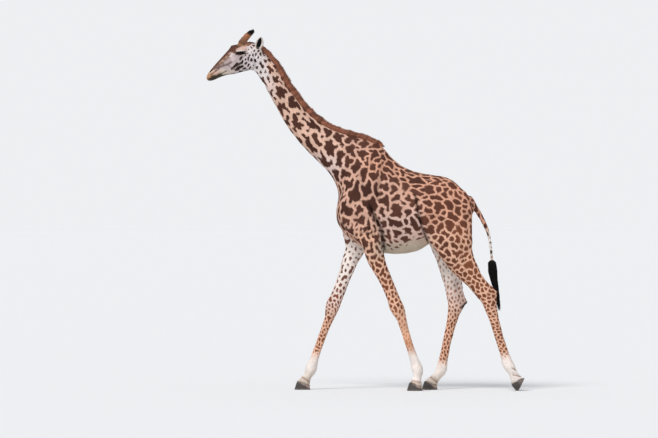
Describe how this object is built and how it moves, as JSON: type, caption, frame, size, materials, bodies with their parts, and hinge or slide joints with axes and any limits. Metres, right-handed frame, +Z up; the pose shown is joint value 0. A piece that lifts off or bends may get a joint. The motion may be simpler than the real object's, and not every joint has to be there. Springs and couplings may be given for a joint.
{
  "type": "masai giraffe",
  "caption": "Life-size still giraffe in mid stride: long neck with an upright mane, sloping back, thin legs, two short horns and a tufted tail.",
  "frame": {"origin": "middle of the model's footprint, on the floor that its hooves stand on", "axes": "+Z up; the animal walks towards -X, so its head is at -X and its tail at +X; its left side faces -Y"},
  "size_m": [3.3726, 0.556, 3.8197],
  "materials": {
    "hide": "short close coat, tan with dark brown patches",
    "mane": "stiff upright reddish brown hair",
    "horn": "skin-covered bone with short hair, black at the tip",
    "tail_hair": "long black hair",
    "hoof": "worn dark horn",
    "eye": "wet, very dark brown"
  },
  "bodies": {
    "root": {"head": "hide", "neck": "hide", "trunk": "hide", "tail": "hide", "foreleg_left": "hide", "foreleg_right": "hide", "hindleg_left": "hide", "hindleg_right": "hide", "ear_left": "hide", "ear_right": "hide", "horn_left": "horn", "horn_right": "horn", "eye_left": "eye", "eye_right": "eye", "mane": "mane", "tail_switch": "tail_hair", "hoof_foreleg_left_inner": "hoof", "hoof_foreleg_left_outer": "hoof", "hoof_foreleg_right_inner": "hoof", "hoof_foreleg_right_outer": "hoof", "hoof_hindleg_left_inner": "hoof", "hoof_hindleg_left_outer": "hoof", "hoof_hindleg_right_inner": "hoof", "hoof_hindleg_right_outer": "hoof"}
  },
  "joints": []
}
